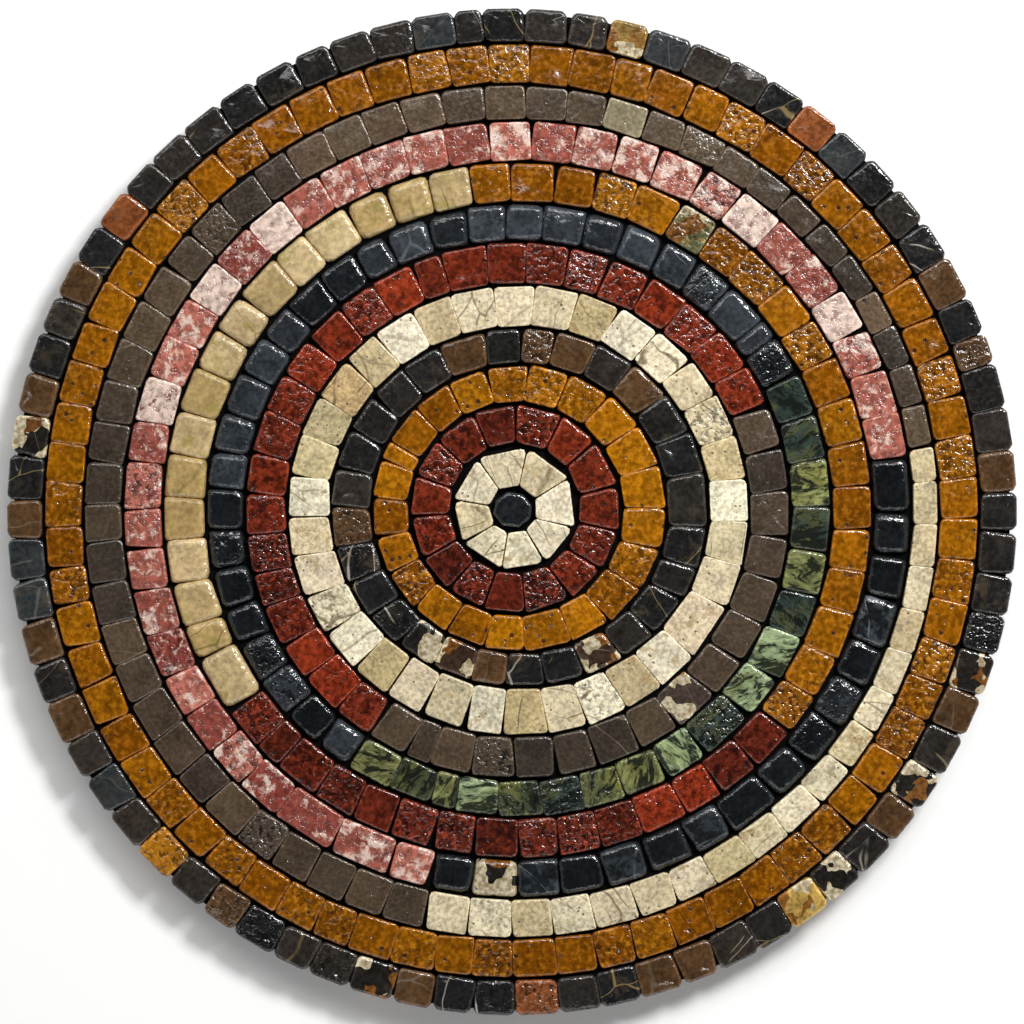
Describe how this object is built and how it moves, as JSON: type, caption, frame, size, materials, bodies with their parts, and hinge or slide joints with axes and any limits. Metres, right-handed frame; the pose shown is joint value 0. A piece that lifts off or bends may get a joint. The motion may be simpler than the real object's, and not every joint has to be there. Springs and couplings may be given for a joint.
{
  "type": "mosaic panel",
  "caption": "Round stone mosaic panel: twelve rings of tumbled marble cubes laid by hand about a centre stone on a thin black setting bed.",
  "frame": {"origin": "middle of the flat underside of the setting bed, the face that is bonded to a wall, a floor or a table top", "axes": "+Z out of the back through the stones' faces, +Y towards the top of the pattern, +X to its right"},
  "size_m": [0.2527, 0.252, 0.0107],
  "materials": {
    "bed": "black setting mortar, matt and gritty",
    "ivory": "tumbled cream marble with grey-brown veins, satin",
    "sand": "tumbled beige marble, smooth and glossy",
    "ochre": "tumbled golden brown marble with dark pits, glossy",
    "red": "tumbled red marble, maroon to brick, glossy",
    "pink": "tumbled pink marble with white clouds, glossy",
    "taupe": "tumbled grey-brown marble with thin pale veins, satin",
    "navy": "tumbled blue-black marble with grey clouds, glossy",
    "green": "tumbled green marble with dark veins, glossy",
    "dark": "tumbled black, charcoal and brown marbles with white and gold veins, glossy"
  },
  "bodies": {
    "root": {"centre_stone": "dark", "ring_01_ivory_stone_1": "ivory", "ring_01_ivory_stone_2": "ivory", "ring_01_ivory_stone_3": "ivory", "ring_01_ivory_stone_4": "ivory", "ring_01_ivory_stone_5": "ivory", "ring_01_ivory_stone_6": "ivory", "ring_01_ivory_stone_7": "ivory", "ring_01_ivory_stone_8": "ivory", "ring_02_red_stone_1": "red", "ring_02_red_stone_10": "red", "ring_02_red_stone_11": "red", "ring_02_red_stone_12": "red", "ring_02_red_stone_13": "red", "ring_02_red_stone_14": "red", "ring_02_red_stone_15": "red", "ring_02_red_stone_2": "red", "ring_02_red_stone_3": "red", "ring_02_red_stone_4": "red", "ring_02_red_stone_5": "red", "ring_02_red_stone_6": "red", "ring_02_red_stone_7": "red", "ring_02_red_stone_8": "red", "ring_02_red_stone_9": "red", "ring_03_ochre": "ochre", "ring_04_dark": "dark", "ring_05_ivory": "ivory", "ring_06_red": "red", "ring_06_taupe": "taupe", "ring_07_green": "green", "ring_07_navy": "navy", "ring_08_ochre": "ochre", "ring_08_red": "red", "ring_08_sand": "sand", "ring_09_navy": "navy", "ring_09_pink": "pink", "ring_10_ivory": "ivory", "ring_10_taupe": "taupe", "ring_11_ochre": "ochre", "ring_12_dark": "dark", "setting_bed": "bed"}
  },
  "joints": []
}
